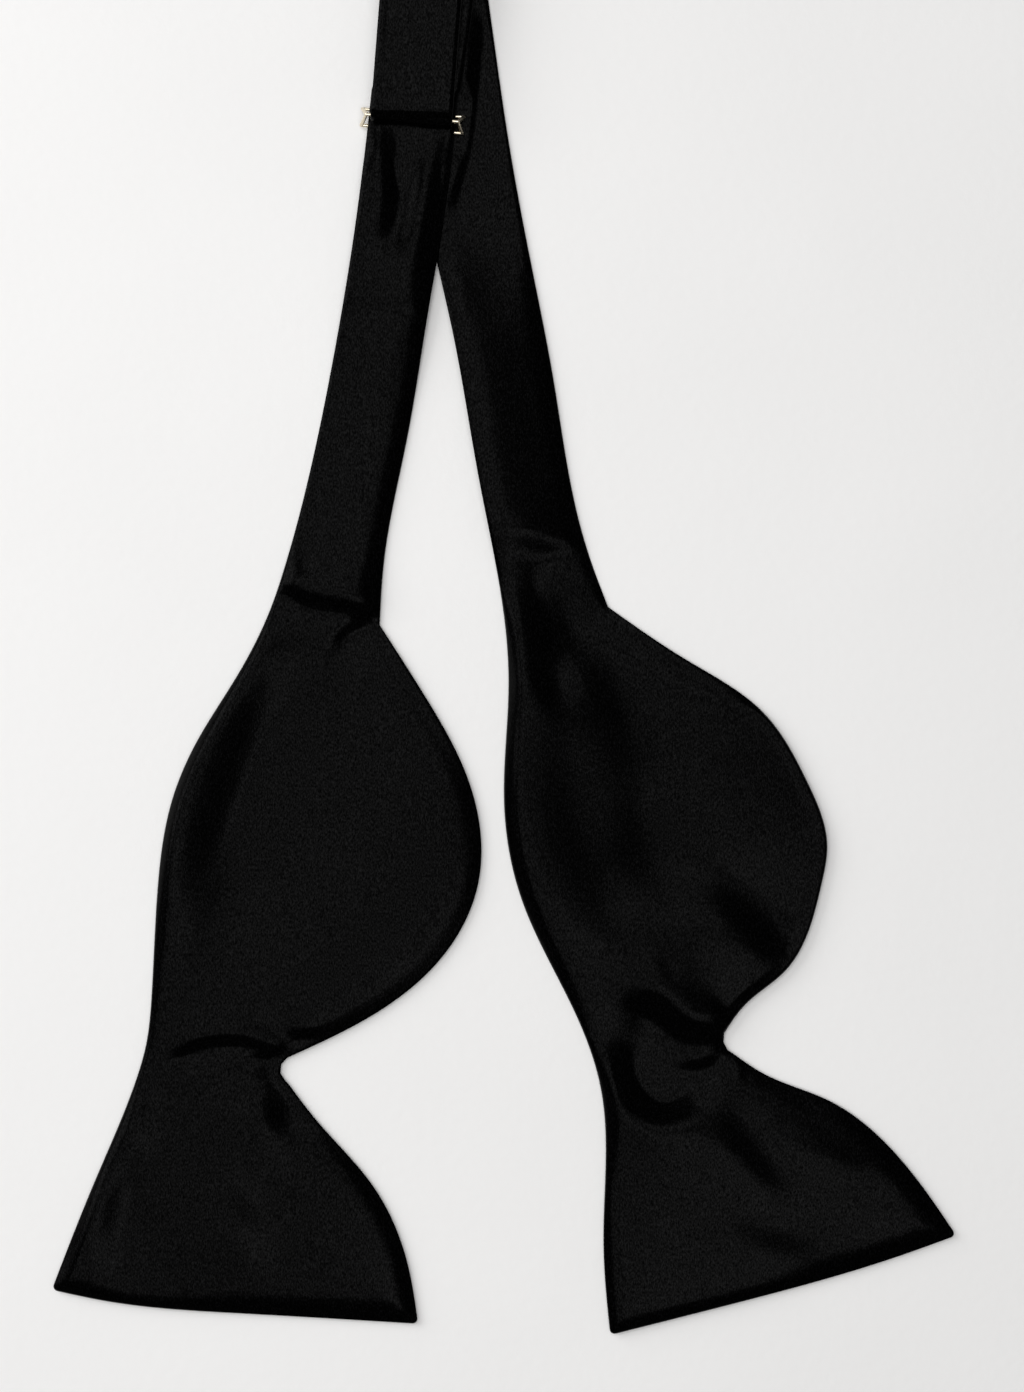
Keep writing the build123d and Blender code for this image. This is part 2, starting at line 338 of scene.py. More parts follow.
# Path, width in mm and slope in degrees of each crease on the upper faces.
LEFT_RELIEF = [
    # the throat of the bulb
    ([(-48.4, -33.2), (-44.7, -35.2), (-39, -36.1), (-33.7, -37.1), (-28.5, -38)], 3.2, 28),
    ([(-48.5, -32.5), (-46, -33.5), (-43, -35)], 3.6, 16),
    ([(-37.4, -44.6), (-34.8, -42.3), (-32.1, -40.8), (-28.5, -40.1)], 2.6, 34),
    # the hollow inside its left edge
    ([(-49.4, -47.6), (-55.5, -56), (-61, -71), (-66.5, -86), (-68.3, -94), (-69.3, -105)], 13.0, 22.5),
    # the waist
    ([(-71.9, -135.6), (-67.2, -133.6), (-60.8, -132.7), (-54.4, -133.8), (-50.4, -135.6)], 2.2, 32),
    ([(-59.1, -137.1), (-55, -136.3), (-51.6, -137.0)], 1.2, 22),
    ([(-48.0, -130.6), (-45.5, -131.0), (-42.5, -131.6)], 2.2, 20),
    ([(-54, -128), (-50, -126), (-46, -125)], 4.0, 10),
    ([(-64, -142.5), (-60, -141.5), (-55, -142.5)], 3.5, 12),
    ([(-53.5, -146), (-51, -148.5), (-50, -152.5)], 4.4, 27),
    # the flare
    ([(-85, -161), (-87, -170), (-88, -179)], 6.5, 23),
    ([(-80, -143), (-79, -149), (-78, -156)], 6.0, 16),
    ([(-60, -166), (-56, -172), (-54, -178)], 6.5, 14),
    # the band below the slide
    ([(-25.3, 66), (-24.7, 58), (-25.0, 51), (-26.6, 45)], 3.6, 30),
    ([(-28.5, 38), (-28.8, 35), (-29.3, 32)], 2.6, 16),
    ([(-19.5, 62), (-20.4, 52), (-21.8, 42)], 3.4, -9),
    ([(-12.8, 66), (-14.3, 57), (-16.2, 47), (-18.4, 36)], 3.8, 21),
    ([(-33, 29.5), (-27, 30), (-21, 28.5)], 2.0, 14),
]
RIGHT_RELIEF = [
    # the band
    ([(-5.2, 92), (-6.6, 76), (-8.4, 64), (-11.5, 53)], 3.6, 26),
    ([(2.5, -21.5), (6.3, -23), (11.1, -24.5), (16.5, -26.4)], 3.6, 15),
    # the throat
    ([(7.4, -35), (8.1, -40), (9.6, -46.5)], 9.0, 32),
    ([(6.9, -51), (8.0, -53.5), (9.5, -57)], 4.6, 22),
    ([(19.5, -46), (22, -56), (24, -68)], 8.5, 12),
    # across the bulb
    ([(11, -60), (11, -76), (14, -92), (22, -108)], 10.0, 15),
    ([(28, -74), (27, -86), (31, -97), (38, -103)], 10.0, 14),
    ([(46.5, -100), (53.5, -106), (60, -112)], 6.6, 20),
    ([(32, -113), (34.5, -116), (36, -118.5)], 3.2, 9),
    # round the notch
    ([(30.4, -124.2), (32.6, -124.4), (36.1, -127.4), (39.6, -130.7), (45.4, -131.8)], 4.5, 36),
    ([(25.8, -138.4), (27.0, -141.6), (29.9, -145.7), (34.3, -148.8), (39.6, -147.4)], 5.0, 38),
    ([(39.6, -138.8), (43.6, -138.1), (47.6, -136.6)], 2.6, 30),
    ([(46.0, -125), (47.6, -126.4), (49.4, -128)], 1.8, 22),
    ([(52.4, -137.6), (52.6, -139.2), (52.6, -141)], 0.9, 20),
    # the flare
    ([(47.8, -150.5), (53.6, -157.1), (59.4, -164.5)], 4.6, 12),
    ([(63, -150), (70, -154), (77.5, -158.5)], 4.6, 10),
    ([(52, -173), (60, -177), (68, -178)], 5.5, 7),
]
LEFT_PUCKERS = [((-47, -139), 130, 260, 6, 7.5, 0.22), ((-27, -41), 140, 230, 3, 7.0, 0.12)]
RIGHT_PUCKERS = [((51, -133), 140, 260, 4, 7.0, 0.16), ((23.5, -38), 150, 250, 3, 6.0, 0.10)]
LEAF_TOP_T = 2 * RING_V + math.pi * RING_RADIUS    # the slide, along the front leaf


def on_leaf(u, v):
    """Place in the flat pattern of a point of the front leaf, v up from the slide."""
    return on_band(u, LEAF_TOP_T - v)


# Creases on the back face, which is the upper one of the front leaf.
LEAF_RELIEF = [
    ([on_leaf(-7.3, 19), on_leaf(-6.9, 15), on_leaf(-6.3, 9)], 3.2, 13),
    ([on_leaf(-4.5, 17), on_leaf(-2.8, 13.5), on_leaf(-1.5, 11)], 2.6, 10),
    ([on_leaf(-1, 19), on_leaf(2, 21), on_leaf(4, 24)], 2.6, -6),
]


def relief(points, creases, puckers):
    """Height that creases add to a face of a half, over its flat pattern."""
    total = np.zeros(points.shape[:-1])
    for path, width, tilt in creases:
        total += crease(points, path, width, tilt)
    for args in puckers:
        total += pucker(points, *args)
    return total


# --- Cross-section ----------------------------------------------------------------------

def rolled(distance, radius):
    """Share of the full thickness at a distance from the edge, round as a rolled seam."""
    inside = 1 - np.clip(distance / radius, 0, 1)
    return np.sqrt(np.clip(1 - inside * inside, 0, 1))


def crown(distance, height, reach):
    """A gentle rise from the edge of a blade towards its middle."""
    return height * (1 - np.exp(-((distance / reach) ** 2)))


# --- Paths of the two bands in side view ------------------------------------------------

def path_frame(segments, t):
    """Position (v, z) and normal along a path of straight runs and half turns.

    Each segment is (length, start v, start z, direction, radius, side, face): a radius
    of 0 is a straight run along direction, 1 up the band or -1 down it.  A turn starts
    in that direction and its centre is to the side named, 1 above or -1 below.  Where
    a segment starts, the front of the cloth looks up if face is 1 and down if it is -1.
    """
    v, z, normal_v, normal_z = (np.zeros_like(t) for _ in range(4))
    start = 0.0
    for number, (length, v0, z0, direction, radius, side, face) in enumerate(segments):
        first = number == 0
        last = number == len(segments) - 1
        inside = (first | (t >= start)) & (last | (t < start + length))
        s = t[inside] - start
        if radius == 0:
            v[inside] = v0 + direction * s
            z[inside] = z0
            normal_z[inside] = face
        else:
            angle = s / radius
            v[inside] = v0 + direction * radius * np.sin(angle)
            z[inside] = z0 + side * radius * (1 - np.cos(angle))
            normal_v[inside] = -direction * side * face * np.sin(angle)
            normal_z[inside] = face * np.cos(angle)
        start += length
    return v, z, normal_v, normal_z


HALF_TURN = math.pi
LEFT_PATH = [
    (RING_V, 0.0, MIDDLE_Z, 1, 0, 0, 1),
    (HALF_TURN * RING_RADIUS, RING_V, MIDDLE_Z, 1, RING_RADIUS, 1, 1),
    (RING_V, RING_V, RING_Z + RING_RADIUS, -1, 0, 0, -1),
    (HALF_TURN * LEAF_RADIUS, 0.0, CENTRE_BAR_Z + LEAF_RADIUS, -1, LEAF_RADIUS, -1, -1),
    (LEAF_TURN, 0.0, CENTRE_BAR_Z - LEAF_RADIUS, 1, 0, 0, 1),
]
RIGHT_PATH = [
    (FOLD_V, 0.0, CLOTH / 2, 1, 0, 0, 1),
    (HALF_TURN * FOLD_RADIUS, FOLD_V, CLOTH / 2, 1, FOLD_RADIUS, 1, 1),
    (FOLD_V - HOOK_BAR_V, FOLD_V, MIDDLE_Z, -1, 0, 0, -1),
    (HALF_TURN * RING_RADIUS, HOOK_BAR_V, MIDDLE_Z, -1, RING_RADIUS, 1, -1),
    (HOOK_TURN, HOOK_BAR_V, RING_Z + RING_RADIUS, 1, 0, 0, 1),
]


def to_band(points):
    """Plan points as (u, v) of the straight upper band."""
    x, y = points[..., 0] - SLIDE_X, points[..., 1] - SLIDE_Y
    return x * math.cos(LEAN) - y * math.sin(LEAN), x * math.sin(LEAN) + y * math.cos(LEAN)


def lead(points, height, segments, level):
    """Flat-pattern points, raised by height above the middle of the cloth, in space.

    Below the slide's centre line the middle lies at the level given.
    """
    u, t = to_band(points)
    v, z, normal_v, normal_z = path_frame(segments, t)
    v, z = v + normal_v * height, z + normal_z * height
    x = SLIDE_X + u * math.cos(LEAN) + v * math.sin(LEAN)
    y = SLIDE_Y - u * math.sin(LEAN) + v * math.cos(LEAN)
    return np.stack([x, y, np.where(t <= 0, level + height, z)], -1)


# --- Meshes -------------------------------------------------------------------------------

SHARP_ANGLE = math.radians(55)
MERGE_DISTANCE, DEGENERATE_EDGE = 2e-6, 1e-7


def mesh_object(name, vertices, faces):
    """A smooth-shaded mesh in metres, with doubled points merged and normals outward."""
    mesh = bpy.data.meshes.new(name)
    mesh.from_pydata(vertices, [], faces)
    work = bmesh.new()
    work.from_mesh(mesh)
    bmesh.ops.remove_doubles(work, verts=work.verts, dist=MERGE_DISTANCE)
    bmesh.ops.dissolve_degenerate(work, edges=work.edges, dist=DEGENERATE_EDGE)
    bmesh.ops.recalc_face_normals(work, faces=work.faces)
    work.to_mesh(mesh)
    work.free()
    mesh.polygons.foreach_set("use_smooth", [True] * len(mesh.polygons))
    mesh.set_sharp_from_angle(angle=SHARP_ANGLE)
    mesh.update()
    obj = bpy.data.objects.new(name, mesh)
    bpy.context.scene.collection.objects.link(obj)
    return obj


def slab(name, upper, lower):
    """A closed piece between two grids of points, joined round their borders."""
    rows, columns = upper.shape[:2]
    vertices = np.vstack([upper.reshape(-1, 3), lower.reshape(-1, 3)]) * MM
    base = rows * columns
    faces = []
    for r in range(rows - 1):
        for c in range(columns - 1):
            a, b = r * columns + c, r * columns + c + 1
            d, e = a + columns, b + columns
            faces.append((a, b, e, d))
            faces.append((a + base, d + base, e + base, b + base))
    border = [c for c in range(columns)]
    border += [r * columns + columns - 1 for r in range(1, rows)]
    border += [(rows - 1) * columns + c for c in range(columns - 2, -1, -1)]
    border += [r * columns for r in range(rows - 2, 0, -1)]
    for a, b in zip(border, border[1:] + border[:1]):
        faces.append((a, a + base, b + base, b))
    return mesh_object(name, vertices.tolist(), faces)


# --- Heights of both faces over the flat pattern ------------------------------------------

# The blades are fuller than the band: between these two heights the change is made.
PUFF_START, PUFF_END = -18.0, -52.0
BLADE_RIM = 0.55                         # extra half thickness of a blade at its edge
BLADE_CROWN, BLADE_REACH = 0.6, 12.0     # its further rise inside the edge
MARGIN_SINK, MARGIN_REACH = 0.6, 3.2     # dip of a blade's right-hand margin
SEAM_REACH = 2.2                         # the band's own rise inside its edge
EDGE_RADIUS = 1.1                        # roll of a left-hand edge
TIGHT_RADIUS_CUT = 0.45                  # how much less it is where the edge is pulled tight
RIGHT_RADIUS_BAND = 0.3                  # how much more it is on the right of the band
RIGHT_RADIUS_BLADE = 1.3                 # and, on top of that, of a blade
CREASE_FADE = 3.0                        # creases die out this near to an edge
LINING_GAP = 0.08                        # between the interlining and each shell
SEAM_ALLOWANCE = 0.06                    # least thickness between the shells


def fullness(points):
    """0 on the neckband and 1 on the blade, by the distance down the half."""
    return smoothstep((PUFF_START - points[..., 1]) / (PUFF_START - PUFF_END))


def soft_floor(value, floor, width):
    """The larger of the two, turned smoothly where they meet."""
    t = (value - floor) / width
    return floor + width * np.where(t > 20, t, np.log1p(np.exp(np.minimum(t, 20))))


def ripple(points, full):
    """Slow unevenness of padded satin, a few hundredths of a millimetre."""
    x, y = points[..., 0], points[..., 1]
    slow = np.sin(x / 9.1 + 0.7 * np.sin(y / 13.7)) * np.sin(y / 11.3 + 0.9 * np.sin(x / 15.1))
    fine = np.sin(x / 3.7 + 1.1 * np.sin(y / 6.9) + y / 8.3) * np.sin(y / 4.9 + 1.3 * np.sin(x / 5.7))
    return (0.02 + 0.05 * full) * slow + (0.006 + 0.012 * full) * fine


def edge_radius(points, full, right, tight):
    """Radius of the rolled edge: wider on the right of the half and at the hem."""
    hem = smoothstep((-165 - points[..., 1]) / 15)
    wider = (RIGHT_RADIUS_BAND + RIGHT_RADIUS_BLADE * full) * np.maximum(right, 0.9 * hem)
    return EDGE_RADIUS - TIGHT_RADIUS_CUT * tight + wider


def seam_rise(points, tight):
    """Height of the band inside its edge: none above the slide, and most below it."""
    clear = smoothstep((52 - points[..., 1]) / 26)
    below_slide = smoothstep((SLIDE_Y - 2 - points[..., 1]) / 5)
    return (0.08 * below_slide + 0.34 * clear) * (1 - 0.8 * tight)


def face_heights(points, near, tight, loose, strokes, puckers, back_strokes):
    """Distances of both faces from the middle, the roll of the edge and the cloth's lift.

    The right-hand edges and the hems are rolled more widely than the left-hand ones,
    except where tight is 1.  The band's creases lift the whole cloth below loose.
    """
    full = fullness(points)
    right = smoothstep((rightness(points) - 0.3) / 0.4) * (1 - tight)
    edge = rolled(near, edge_radius(points, full, right, tight))
    half = CLOTH / 2 + BLADE_RIM * full
    fade = smoothstep(near / CREASE_FADE)
    free = (1 - full) * smoothstep((loose - points[..., 1]) / 10)
    folds = (fade + (1 - fade) * free) * (relief(points, strokes, puckers) + ripple(points, full))
    lift = folds * free
    low = half + fade * relief(points, back_strokes, []) + leaf_rim(points, near)
    low = soft_floor(low, SATIN + 0.13, 0.04)
    blade = full * crown(near, BLADE_CROWN, BLADE_REACH)
    sink = MARGIN_SINK * full * right * np.exp(-((near / MARGIN_REACH) ** 2))
    up = half + crown(near, seam_rise(points, tight), SEAM_REACH) + blade - sink + folds - lift
    up = soft_floor(up, 2 * SATIN + 2 * LINING_GAP + SEAM_ALLOWANCE - low, 0.12)
    return edge * up, edge * low, edge, lift


def leaf_rim(points, near):
    """The pressed ridge just inside the edges of the strap between the ring and the slide."""
    here = smoothstep((to_band(points)[1] - RING_V - 5) / 4)
    ridge = 0.14 * np.exp(-(((near - 1.0) / 0.4) ** 2))
    groove = 0.12 * np.exp(-(((near - 1.9) / 0.5) ** 2))
    return here * (ridge - groove)


def from_right(points):
    """Distance of each point of a row from the row's right end."""
    return np.linalg.norm(points - points[:, -1:], axis=-1)


def rightness(points):
    """0 at the left end of each row and 1 at its right end."""
    return 1 - from_right(points) / from_right(points)[:, :1]


def bump_between(y, start, end, soft):
    """1 between two heights up the half and 0 outside them, with soft ends."""
    return smoothstep((y - start) / soft) * smoothstep((end - y) / soft)


ARCH = 1.7                   # how far the left band's right edge bends down
ARCH_ROLL = 5.0              # width of that bend
RIGHT_TILT = math.tan(math.radians(9.5))     # slope of the right band, down to its right
RIGHT_TILT_WIDTH = 16.0      # the slope ends this far from the band's right edge


def left_level(points):
    """Height of the middle of the left half's cloth, which climbs on to the slide."""
    y = points[..., 1]
    rise = smoothstep((y - RISE_START) / (RISE_END - RISE_START))
    across = np.tanh(from_right(points) / ARCH_ROLL) - 1 + rightness(points)
    arch = ARCH * bump_between(y, -44, 63, 13) * across
    return CLOTH / 2 + BLADE_RIM * fullness(points) + rise * (MIDDLE_Z - CLOTH / 2) + arch


def right_level(points):
    """Height of the middle of the right half's cloth, whose band rolls to the right."""
    y = points[..., 1]
    full = fullness(points)
    roll = RIGHT_TILT * smoothstep((y + 33) / 15) * smoothstep((50 - y) / 34)
    over = RIGHT_TILT_WIDTH - soft_floor(RIGHT_TILT_WIDTH - from_right(points), 0.0, 1.0)
    return CLOTH / 2 + BLADE_RIM * full + roll * (1 - full) * over


# --- The two halves ------------------------------------------------------------------------

def turn_rows(start, length, count):
    """Evenly spaced rows of one run or turn, without its first."""
    return list(start + length * np.arange(1, count + 1) / count)


def end_rows(start, length, count):
    """Rows of the last run of a strap, close together at its finished end."""
    close = start + length - np.array(EDGE_COLUMNS[::-1])
    return turn_rows(start, length - EDGE_COLUMNS[-1], count)[:-1] + list(close)


# The left strap is cut in two here, in the middle of its turn round the ring.
LEFT_CUT = RING_V + HALF_TURN * RING_RADIUS / 2


def left_rows():
    """Distances along the left band of the rows above its outline, from low to high."""
    ring = RING_V + HALF_TURN * RING_RADIUS
    leaf = ring + RING_V
    rows = turn_rows(LEFT_TOP, RING_V - LEFT_TOP, 60)
    rows += turn_rows(RING_V, HALF_TURN * RING_RADIUS, 16)
    rows += turn_rows(ring, RING_V - 4.0, 64) + turn_rows(leaf - 4.0, 4.0, 12)
    rows += turn_rows(leaf, HALF_TURN * LEAF_RADIUS, 12)
    return np.array(rows + end_rows(leaf + HALF_TURN * LEAF_RADIUS, LEAF_TURN, 4))


def right_rows():
    """Distances along the right band of the rows above its outline, from low to high."""
    turn = FOLD_V + HALF_TURN * FOLD_RADIUS
    hook = turn + FOLD_V - HOOK_BAR_V
    rows = turn_rows(STRAIGHT_V, FOLD_V - STRAIGHT_V, 58)
    rows += turn_rows(FOLD_V, HALF_TURN * FOLD_RADIUS, 14)
    rows += turn_rows(turn, FOLD_V - HOOK_BAR_V, 20)
    rows += turn_rows(hook, HALF_TURN * RING_RADIUS, 16)
    return np.array(rows + end_rows(hook + HALF_TURN * RING_RADIUS, HOOK_TURN, 12))


def leaf_shape(t):
    """Half width and sideways shift of the left band at distance t along it."""
    back = np.clip(t / RING_V, 0, 1)
    bow = 1.9 * np.sin(math.pi * np.clip(back / 0.8, 0, 1)) ** 1.2
    front = smoothstep((t - RING_V) / 8)
    return BAND / 2 - 0.5 * front, bow * (1 - front) - 0.1 * front


def half_grid(half, rows, shape=None):
    """Points of a half's flat pattern, the last row at its hem, and their edge distance."""
    outer, inner = blade_rows(half)
    width, shift = (BAND / 2, 0.0) if shape is None else shape(rows[::-1])
    top_outer, top_inner = straight_rows(rows[::-1], width, shift)
    grid = grid_of(np.vstack([top_outer, outer]), np.vstack([top_inner, inner]))
    grid = round_corners(bow_hem(grid, smooth_curve(half["hem"])))
    return grid, edge_distance(grid)


def bow_hem(grid, hem):
    """Bends the rows near the last one to the curve of the hem."""
    last = grid[-1]
    share = lengths(last) / lengths(last)[-1]
    bend = at_length(hem, share * lengths(hem)[-1]) - last
    away = np.linalg.norm(grid - last[None], axis=-1).min(1)
    return grid + (1 - smoothstep(away / 45.0))[:, None, None] * bend[None]


def shells(prefix, grid, heights, level, segments, ends):
    """The front shell, the interlining and the back shell of a piece of a half.

    ends says whether the first and the last row of the piece are finished edges.
    """
    up, low, edge, _ = heights
    inner_up, inner_low = up - SATIN * edge, low - SATIN * edge
    whole = every_other(grid, 0, None, 0, 1)
    coarse = every_other(grid, 0, None, 0, 2) if ends[1] else whole
    inset = every_other(grid, 5 if ends[0] else 0, -5 if ends[1] else None, 4, 2)

    def between(name, pick, upper, lower):
        return slab(
            prefix + name,
            lead(grid[pick], upper[pick], segments, level[pick]),
            lead(grid[pick], lower[pick], segments, level[pick]),
        )

    return {
        "front": between("_front", whole, up, inner_up),
        "interlining": between("_interlining", inset, inner_up - LINING_GAP, LINING_GAP - inner_low),
        "back": between("_back", coarse, -inner_low, -low),
    }


def every_other(grid, first, last, inset, step):
    """Rows and columns of a grid, in steps, with the border's own rows and columns."""
    rows = list(range(len(grid)))[first:last]
    columns = list(range(len(grid[0])))[inset:len(grid[0]) - inset]
    return np.ix_(sorted({*rows[::step], rows[-1]}), sorted({*columns[::step], columns[-1]}))


OVER_BAND, OVER_BAR = 1.45, 0.66         # steps up on to the right band and the slide's bar
LEAF_STEP, LEAF_RISE = 1.15, 1.0         # rise of the front leaf at the slide, and past it
LOOSE_LEFT = SLIDE_Y - 2.5               # below this the left band's creases lift its cloth
LOOSE_RIGHT = 44.0


def left_floor(grid):
    """Least height of the left band's underside, over the right band and then the slide."""
    y = grid[..., 1]
    return OVER_BAND * smoothstep((y - 36) / 10) + OVER_BAR * smoothstep((y - SLIDE_Y + 21) / 6)


def leaf_lift(grid):
    """The front leaf stands a little proud of the slide and sinks where it turns round it."""
    u, t = to_band(grid)
    v = LEAF_TOP_T - t
    lift = LEAF_STEP * smoothstep((v - 0.05 * u + 0.9) / 2.5) + LEAF_RISE * smoothstep(v / 34)
    return np.where((v > -1.5) & (v < RING_V), lift * smoothstep((RING_V - 3 - v) / 44), 0)


def make_left(materials):
    """The left half up to the ring, and its strap from the ring back to the slide."""
    grid, near = half_grid(LEFT, left_rows(), leaf_shape)
    heights = face_heights(grid, near, 0.0, LOOSE_LEFT, LEFT_RELIEF, LEFT_PUCKERS, LEAF_RELIEF)
    heights[0][:] -= leaf_lift(grid)
    heights[1][:] += leaf_lift(grid)
    level = soft_floor(left_level(grid) + heights[3], heights[1] + left_floor(grid), 0.05)
    along = to_band(grid[:, len(grid[0]) // 2])[1]
    cut = int(np.argmin(abs(along - LEFT_CUT)))
    blade, strap = slice(cut, None), slice(0, cut + 1)
    lower_heights, upper_heights = ([h[part] for h in heights] for part in (blade, strap))
    lower = shells(
        "satin_left_half", grid[blade], lower_heights, level[blade], LEFT_PATH, (False, True),
    )
    upper = shells(
        "satin_front_leaf", grid[strap], upper_heights, level[strap], LEFT_PATH, (True, False),
    )
    for ply, obj in lower.items():
        finish_cloth(obj, materials[ply])
        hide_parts("left_half_" + ply, "back_leaf_" + ply, "ring_loop_" + ply)
        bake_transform(obj)
    for ply, obj in upper.items():
        finish_cloth(obj, materials[ply])
        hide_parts("front_leaf_" + ply, "leaf_end_" + ply)
        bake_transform(obj)


def under_left(grid, up):
    """Keeps the right band's upper face below the left band and the slide that lie on it."""
    y = grid[..., 1]
    below_slide, above_slide = smoothstep((64 - y) / 4), smoothstep((y - 74) / 6)
    room = 0.53 + 0.35 * below_slide + 0.85 * above_slide
    kept = room - soft_floor(room - up, 0.0, 0.04)
    return up + (kept - up) * smoothstep((y - 40) / 8)


def tight_edge(grid):
    """1 along the lower right edge of the right bulb, which is pulled tight to a thin rim."""
    return bump_between(grid[..., 1], -135, -56, 6) * smoothstep((rightness(grid) - 0.3) / 0.4)


def make_right(materials):
    """The right half, over the fold at the back of the neck and on to the hook."""
    grid, near = half_grid(RIGHT, right_rows())
    tight = tight_edge(grid)
    heights = face_heights(grid, near, tight, LOOSE_RIGHT, RIGHT_RELIEF, RIGHT_PUCKERS, [])
    heights[0][:] = under_left(grid, heights[0])
    level = soft_floor(right_level(grid) + heights[3], heights[1], 0.05)
    made = shells("satin_right_half", grid, heights, level, RIGHT_PATH, (True, True))
    for ply, obj in made.items():
        finish_cloth(obj, materials[ply])
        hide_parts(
            "right_half_" + ply, "neck_fold_" + ply, "hook_strap_" + ply, "hook_end_" + ply,
        )
        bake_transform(obj)


def finish_cloth(obj, material):
    """Gives a shell its material."""
    obj.data.materials.append(material)


# --- Stitches and hardware ----------------------------------------------------------------

def tube_faces(centres, radius, sides):
    """Vertices and faces of a round thread along a closed loop of points."""
    centres = np.array(centres, float)
    count = len(centres)
    along = np.roll(centres, -1, 0) - np.roll(centres, 1, 0)
    along /= np.linalg.norm(along, axis=1)[:, None]
    first = np.cross(along, [1.0, 0.0, 0.0])
    first /= np.linalg.norm(first, axis=1)[:, None]
    second = np.cross(along, first)
    vertices, faces = [], []
    for i in range(count):
        for k in range(sides):
            a = 2 * math.pi * k / sides
            vertices.append(centres[i] + radius * (math.cos(a) * first[i] + math.sin(a) * second[i]))
    for i in range(count):
        j = (i + 1) % count
        for k in range(sides):
            n = (k + 1) % sides
            faces.append((i * sides + k, i * sides + n, j * sides + n, j * sides + k))
    return vertices, faces


TACK_WIDTH = 12.4            # of the row of stitches across the band
TACK_LOOPS = 25
LOOP_POINTS = 14
THREAD_RADIUS, THREAD_SIDES = 0.16, 8


def stitch_loop(u, v, bottom, top):
    """Points of one stitch, a loop through the cloth that leans a little to one side."""
    middle, reach = (bottom + top) / 2, (top - bottom) / 2 + 0.1
    loop = []
    for k in range(LOOP_POINTS):
        a = 2 * math.pi * k / LOOP_POINTS
        x, y = on_band(u + 0.12 * math.sin(a), v + 0.42 * math.cos(a))
        loop.append((x, y, middle + reach * math.sin(a)))
    return loop


def make_tack(name, node, body, v, bottom, top, material):
    """A bar tack: a row of close loops of thread through two layers of the band."""
    vertices, faces = [], []
    for i in range(TACK_LOOPS):
        u = TACK_WIDTH * (i / (TACK_LOOPS - 1) - 0.5)
        loop = stitch_loop(u, v, bottom, top)
        more, joins = tube_faces(loop, THREAD_RADIUS, THREAD_SIDES)
        faces += [tuple(f + len(vertices) for f in face) for face in joins]
        vertices += more
    obj = mesh_object(name, (np.array(vertices) * MM).tolist(), faces)
    obj.data.materials.append(material)
    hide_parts(node)
    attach(obj, body)


def dress_hardware(material):
    """Better metal on the three wire parts, which keep their CAD shapes."""
    for node in ("slide_adjuster", "eye_ring", "strap_hook"):
        for slot in bpy.data.objects[node].material_slots:
            slot.material = material


# --- Materials --------------------------------------------------------------------------------

def new_material(name):
    """A material, its nodes, its links and its shader node."""
    material = bpy.data.materials.new(name)
    material.use_nodes = True
    nodes = material.node_tree.nodes
    return material, nodes, material.node_tree.links, nodes["Principled BSDF"]


def mapped(nodes, links, scale=(1.0, 1.0, 1.0)):
    """The object's own coordinates, in metres, each multiplied by its scale."""
    where = nodes.new("ShaderNodeTexCoord")
    mapping = nodes.new("ShaderNodeMapping")
    mapping.inputs["Scale"].default_value = scale
    links.new(where.outputs["Object"], mapping.inputs["Vector"])
    return mapping.outputs["Vector"]


def noise(nodes, links, vector, scale, detail):
    """Noise from 0 to 1, with about scale blotches to the metre."""
    texture = nodes.new("ShaderNodeTexNoise")
    texture.inputs["Scale"].default_value = scale
    texture.inputs["Detail"].default_value = detail
    links.new(vector, texture.inputs["Vector"])
    return texture.outputs["Fac"]


def ramp(nodes, links, value, low, high, start=0.3, end=0.7):
    """A value that goes from low to high as another goes from start to end."""
    node = nodes.new("ShaderNodeMapRange")
    node.inputs["From Min"].default_value = start
    node.inputs["From Max"].default_value = end
    node.inputs["To Min"].default_value = low
    node.inputs["To Max"].default_value = high
    links.new(value, node.inputs["Value"])
    return node.outputs["Result"]


def colour_ramp(nodes, links, value, low, high):
    """A colour from low to high by a value from 0 to 1."""
    node = nodes.new("ShaderNodeMix")
    node.data_type = "RGBA"
    node.inputs["A"].default_value = (*low, 1)
    node.inputs["B"].default_value = (*high, 1)
    links.new(value, node.inputs["Factor"])
    return node.outputs["Result"]


def bump(nodes, links, height, distance, strength, under=None):
    """A normal roughened by a height, on top of another such normal if one is given."""
    node = nodes.new("ShaderNodeBump")
    node.inputs["Distance"].default_value = distance
    node.inputs["Strength"].default_value = strength
    links.new(height, node.inputs["Height"])
    if under is not None:
        links.new(under, node.inputs["Normal"])
    return node.outputs["Normal"]


